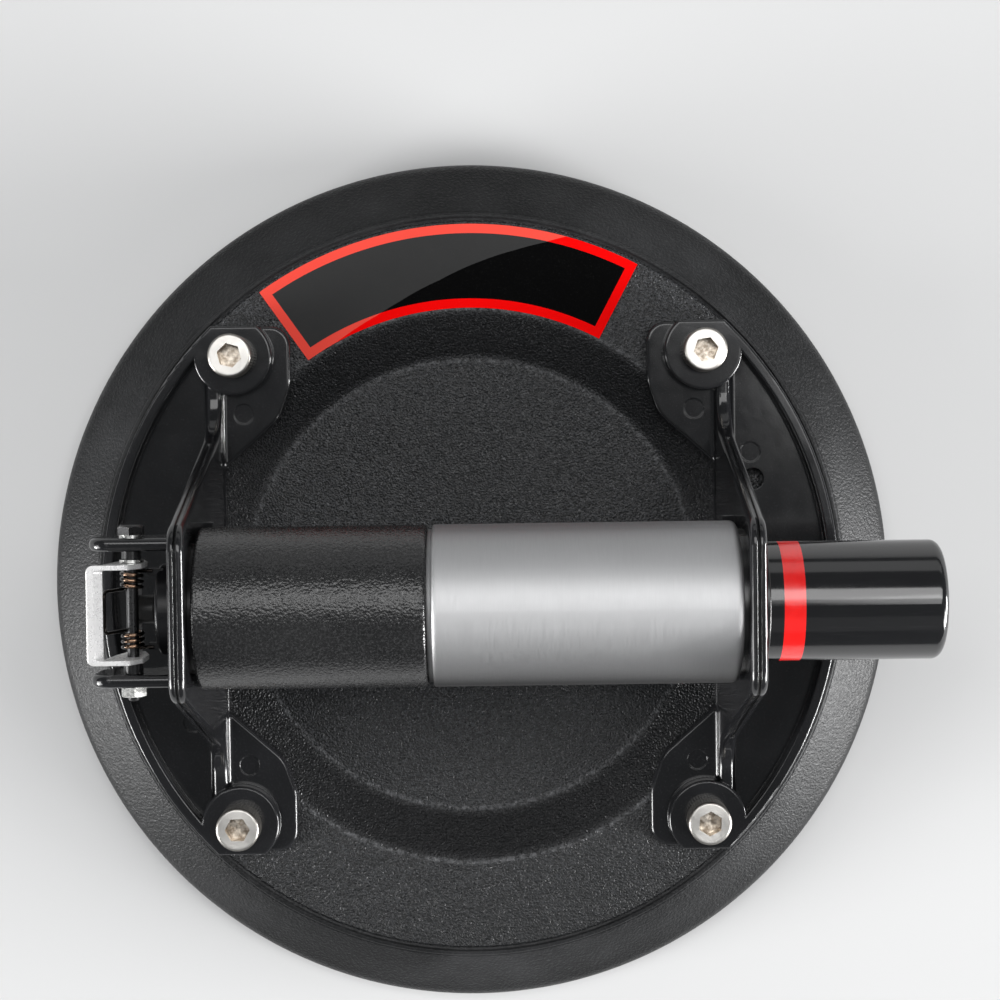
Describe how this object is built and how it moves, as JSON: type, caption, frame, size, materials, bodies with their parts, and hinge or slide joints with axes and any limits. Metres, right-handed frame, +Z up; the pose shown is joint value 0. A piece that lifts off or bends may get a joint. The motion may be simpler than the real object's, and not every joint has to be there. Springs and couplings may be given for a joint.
{
  "type": "floor tile suction lifter",
  "caption": "Hand-pumped vacuum cup lifter: round rubber cup, handle barrel with push plunger, grip and release lever.",
  "frame": {"origin": "centre of the cup on the surface it stands on, below the middle of the handle", "axes": "+X along the handle towards the pump plunger, +Y across the handle towards the label, +Z up from the surface"},
  "size_m": [0.2, 0.2, 0.0875],
  "materials": {
    "pad_rubber": "moulded, fine texture",
    "textured_plate": "coarse textured black coating",
    "plated_steel": "zinc plated",
    "screw_steel": "stainless, satin",
    "bracket_plastic": "gloss black",
    "seal_rubber": "smooth",
    "label": "printed red border, black field",
    "barrel_steel": "stainless, satin",
    "grip_silicone": "granular moulded texture",
    "acetal": "smooth",
    "brass_part": "turned",
    "spring_steel": "drawn wire",
    "bush_plastic": "smooth black",
    "plunger_plastic": "polished black",
    "red_band": "red",
    "lever_plate": "bright plated",
    "bolt_steel": "blackened steel",
    "dark_spring": "blackened wire"
  },
  "bodies": {
    "cup_and_handle": {"suction_pad": "pad_rubber", "backing_plate": "textured_plate", "threaded_bosses": "plated_steel", "screw_limiters": "plated_steel", "bracket_screws": "screw_steel", "right_bracket": "bracket_plastic", "left_bracket": "bracket_plastic", "foot_gasket": "seal_rubber", "label_plate": "label", "pump_barrel": "barrel_steel", "grip_sleeve": "grip_silicone", "valve_head": "acetal", "head_seal_ring": "seal_rubber", "check_cage": "brass_part", "check_spring": "spring_steel", "vent_housing": "acetal", "guide_bush": "bush_plastic", "wiper_ring": "seal_rubber", "return_spring": "spring_steel", "pivot_washers": "plated_steel", "pivot_bushings": "bush_plastic", "pivot_bolt": "bolt_steel", "pivot_nut": "plated_steel", "torsion_spring": "dark_spring"},
    "plunger": {"plunger_tube": "plunger_plastic", "indicator_band": "red_band", "stop_ring": "spring_steel", "piston": "acetal", "piston_cup": "seal_rubber"},
    "release_lever": {"release_lever": "lever_plate", "vent_plug": "seal_rubber", "spring_bow": "dark_spring"},
    "check_valve": {"check_poppet": "seal_rubber"}
  },
  "joints": [
    {"name": "plunger_slide", "type": "slide", "parent": "cup_and_handle", "child": "plunger", "axis": [-1, 0, 0], "range_m": [0, 0.033], "stiffness_N_per_m": 800, "springref_m": -0.015, "deforming": ["return_spring"]},
    {"name": "lever_pivot", "type": "hinge", "parent": "cup_and_handle", "child": "release_lever", "pos_m": [-0.0692, 0, 0.077], "axis": [0, 1, 0], "range_deg": [0, 18], "stiffness_Nm_per_rad": 0.05, "springref_deg": -34.38},
    {"name": "check_valve_slide", "type": "slide", "parent": "cup_and_handle", "child": "check_valve", "axis": [1, 0, 0], "range_m": [0, 0.0012], "stiffness_N_per_m": 60, "springref_m": -0.003, "deforming": ["check_spring"]}
  ]
}
